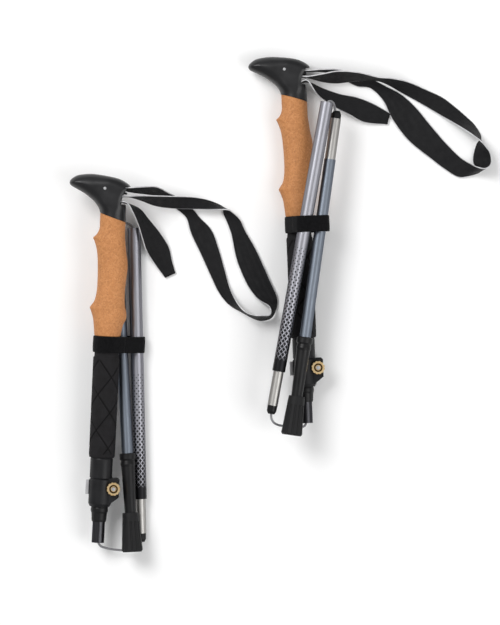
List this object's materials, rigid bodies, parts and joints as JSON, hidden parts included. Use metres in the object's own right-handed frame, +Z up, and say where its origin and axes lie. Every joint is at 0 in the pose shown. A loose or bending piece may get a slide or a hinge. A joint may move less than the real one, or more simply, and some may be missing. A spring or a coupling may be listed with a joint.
{
  "type": "pair of folding trekking poles",
  "caption": "Pair of three-section folding trekking poles, folded and tied, with cork grips, wrist straps, lever locks, patterned shafts and rubber feet.",
  "frame": {"origin": "bottom centre of the box round the folded pair, on the surface that it lies on", "axes": "+Z up, +Y along the folded poles towards the grips' heads, +X from the left pole to the right pole"},
  "size_m": [0.4435, 0.5213, 0.053],
  "materials": {
    "grip_plastic": "moulded, matte",
    "black_plastic": "moulded, satin",
    "polished_steel": "polished",
    "webbing": "woven nylon webbing, black with a pale edge",
    "cork": "natural cork, fine grain",
    "foam": "soft EVA foam with diagonal grooves",
    "hook_loop": "black hook-and-loop",
    "upper_alloy": "anodised",
    "brass": "turned",
    "lever_plastic": "light grey",
    "inner_alloy": "satin anodised",
    "guide_plastic": "natural nylon",
    "cord_coat": "coated cable, grey",
    "pattern_alloy": "silver fading into a black diamond pattern",
    "ferrule_alloy": "bright",
    "blue_alloy": "blue-grey anodised",
    "carbide": "ground",
    "foot_rubber": "moulded rubber"
  },
  "bodies": {
    "left_grip": {"left_head": "grip_plastic", "left_strap_pin": "polished_steel", "left_wrist_strap": "webbing", "left_cork_grip": "cork", "left_foam_grip": "foam", "left_band": "hook_loop", "left_upper_tube": "upper_alloy", "left_lock_body": "black_plastic", "left_lock_bolt": "polished_steel", "left_lock_collar": "black_plastic", "left_cam_pin": "polished_steel"},
    "left_lever": {"left_lock_lever": "lever_plastic"},
    "left_nut": {"left_lock_nut": "brass"},
    "left_wedge": {"left_strap_wedge": "black_plastic"},
    "left_inner": {"left_inner_tube": "inner_alloy", "left_inner_guide": "guide_plastic", "left_cord_anchor": "polished_steel"},
    "left_link": {"left_cord_lower_loop": "cord_coat"},
    "left_middle": {"left_middle_tube": "pattern_alloy", "left_middle_ferrule": "ferrule_alloy", "left_middle_cap": "black_plastic"},
    "left_cord": {"left_cord_run": "cord_coat"},
    "left_drift": {"left_cord_upper_loop": "cord_coat"},
    "left_lower": {"left_lower_tube": "blue_alloy", "left_lower_ferrule": "ferrule_alloy", "left_lower_cap": "black_plastic", "left_tip_sleeve": "black_plastic", "left_carbide_tip": "carbide"},
    "left_foot": {"left_rubber_foot": "foot_rubber"},
    "right_grip": {"right_head": "grip_plastic", "right_strap_pin": "polished_steel", "right_wrist_strap": "webbing", "right_cork_grip": "cork", "right_foam_grip": "foam", "right_band": "hook_loop", "right_upper_tube": "upper_alloy", "right_lock_body": "black_plastic", "right_lock_bolt": "polished_steel", "right_lock_collar": "black_plastic", "right_cam_pin": "polished_steel"},
    "right_lever": {"right_lock_lever": "lever_plastic"},
    "right_nut": {"right_lock_nut": "brass"},
    "right_wedge": {"right_strap_wedge": "black_plastic"},
    "right_inner": {"right_inner_tube": "inner_alloy", "right_inner_guide": "guide_plastic", "right_cord_anchor": "polished_steel"},
    "right_link": {"right_cord_lower_loop": "cord_coat"},
    "right_middle": {"right_middle_tube": "pattern_alloy", "right_middle_ferrule": "ferrule_alloy", "right_middle_cap": "black_plastic"},
    "right_cord": {"right_cord_run": "cord_coat"},
    "right_drift": {"right_cord_upper_loop": "cord_coat"},
    "right_lower": {"right_lower_tube": "blue_alloy", "right_lower_ferrule": "ferrule_alloy", "right_lower_cap": "black_plastic", "right_tip_sleeve": "black_plastic", "right_carbide_tip": "carbide"},
    "right_foot": {"right_rubber_foot": "foot_rubber"}
  },
  "joints": [
    {"name": "left_unfold", "type": "hinge", "parent": "left_middle", "child": "left_link", "pos_m": [-0.16997, -0.24914, 0.01402], "axis": [0.2771, -0.0266, 0.9605], "range_deg": [0, 183.34], "deforming": ["left_wrist_strap", "left_band", "left_cord_lower_loop", "left_cord_upper_loop"]},
    {"name": "left_seat", "type": "slide", "parent": "left_link", "child": "left_inner", "axis": [-0.0481, -0.9979, -0.0426], "range_m": [0, 0.0489]},
    {"name": "left_extend", "type": "slide", "parent": "left_inner", "child": "left_grip", "axis": [0.0481, 0.9979, 0.0426], "range_m": [0, 0.15]},
    {"name": "left_seat_lower", "type": "slide", "parent": "left_middle", "child": "left_cord", "axis": [0.0233, -0.9997, -0.0056], "range_m": [0, 0.0639]},
    {"name": "left_drift", "type": "slide", "parent": "left_cord", "child": "left_drift", "axis": [0.9993, 0.0373, 0.0003], "range_m": [0, 0.01891]},
    {"name": "left_unfold_lower", "type": "hinge", "parent": "left_drift", "child": "left_lower", "pos_m": [-0.17405, 0.08932, 0.008], "axis": [-0.9993, -0.0373, -0.0003], "range_deg": [0, 177.09]},
    {"name": "left_foot_off", "type": "slide", "parent": "left_lower", "child": "left_foot", "axis": [0.0513, -0.9977, 0.0452], "range_m": [0, 0.045]},
    {"name": "left_lever_open", "type": "hinge", "parent": "left_grip", "child": "left_lever", "pos_m": [-0.17554, -0.18918, 0.01187], "axis": [-0.0481, -0.9979, -0.0426], "range_deg": [0, 110]},
    {"name": "left_nut_turn", "type": "hinge", "parent": "left_grip", "child": "left_nut", "pos_m": [-0.17558, -0.18999, 0.03105], "axis": [-0.0021, -0.0426, 0.9991], "continuous": true},
    {"name": "left_wedge_pull", "type": "slide", "parent": "left_grip", "child": "left_wedge", "axis": [0.9988, -0.0482, 0], "range_m": [0, 0.006]},
    {"name": "pair_apart", "type": "slide", "parent": "left_middle", "child": "right_grip", "axis": [1, 0, 0], "range_m": [0, 0.15]},
    {"name": "right_extend", "type": "slide", "parent": "right_grip", "child": "right_inner", "axis": [0.0382, -0.9993, 0.003], "range_m": [0, 0.15]},
    {"name": "right_seat", "type": "slide", "parent": "right_inner", "child": "right_link", "axis": [-0.0382, 0.9993, -0.003], "range_m": [0, 0.0489]},
    {"name": "right_unfold", "type": "hinge", "parent": "right_link", "child": "right_middle", "pos_m": [0.00646, -0.12069, 0.02828], "axis": [0.5171, -0.0394, 0.855], "range_deg": [0, 190.19], "deforming": ["right_wrist_strap", "right_band", "right_cord_lower_loop", "right_cord_upper_loop"]},
    {"name": "right_seat_lower", "type": "slide", "parent": "right_middle", "child": "right_cord", "axis": [-0.1768, -0.9842, -0.0107], "range_m": [0, 0.0639]},
    {"name": "right_drift", "type": "slide", "parent": "right_cord", "child": "right_drift", "axis": [-0.9327, 0.1524, 0.327], "range_m": [0, 0.01452]},
    {"name": "right_unfold_lower", "type": "hinge", "parent": "right_drift", "child": "right_lower", "pos_m": [0.05951, 0.21334, 0.03501], "axis": [-0.9327, 0.1524, 0.327], "range_deg": [0, 177.1]},
    {"name": "right_foot_off", "type": "slide", "parent": "right_lower", "child": "right_foot", "axis": [-0.139, -0.9898, 0.0297], "range_m": [0, 0.045]},
    {"name": "right_lever_open", "type": "hinge", "parent": "right_grip", "child": "right_lever", "pos_m": [0.03764, -0.06384, 0.00496], "axis": [0.0382, -0.9993, 0.003], "range_deg": [0, 110]},
    {"name": "right_nut_turn", "type": "hinge", "parent": "right_grip", "child": "right_nut", "pos_m": [0.03764, -0.06378, 0.02416], "axis": [-0.0001, 0.003, 1], "continuous": true},
    {"name": "right_wedge_pull", "type": "slide", "parent": "right_grip", "child": "right_wedge", "axis": [0.9993, 0.0382, 0], "range_m": [0, 0.006]}
  ],
  "couplings": [
    {"joint": "left_extend", "follows": "left_unfold", "m_per_rad": 0.046876},
    {"joint": "left_drift", "follows": "left_unfold", "m_per_rad": 0.0059097},
    {"joint": "left_unfold_lower", "follows": "left_unfold", "ratio": 0.9659},
    {"joint": "right_drift", "follows": "right_unfold", "m_per_rad": 0.0043758},
    {"joint": "right_unfold_lower", "follows": "right_unfold", "ratio": 0.93117}
  ]
}
